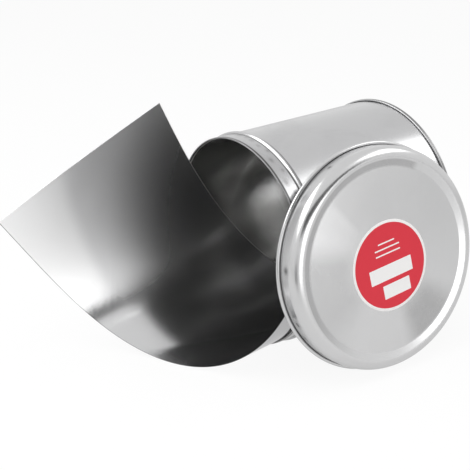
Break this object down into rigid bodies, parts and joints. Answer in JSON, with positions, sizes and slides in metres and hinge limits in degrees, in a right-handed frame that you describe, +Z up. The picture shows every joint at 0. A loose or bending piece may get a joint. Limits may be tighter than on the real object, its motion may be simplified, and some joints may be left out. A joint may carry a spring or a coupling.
{
  "type": "shim stock roll",
  "caption": "Coil of thin metal foil in a round tin lying on its side, its inner end drawn out of the mouth as a slanting band, with the labelled slip lid leaning on the tin.",
  "frame": {"origin": "middle of the object's bounding box, on the floor", "axes": "+Y along the can's axis from its mouth to its base, +X toward the leaning lid, +Z up"},
  "size_m": [0.2096, 0.3292, 0.2044],
  "materials": {
    "can_tin": "satin tinplate",
    "lid_tin": "satin tinplate",
    "foil": "bright rolled steel foil",
    "label": "printed paper"
  },
  "bodies": {
    "root": {"can_body": "can_tin", "can_base": "can_tin", "shim_strip": "foil", "lid": "lid_tin", "lid_label": "label"}
  },
  "joints": []
}
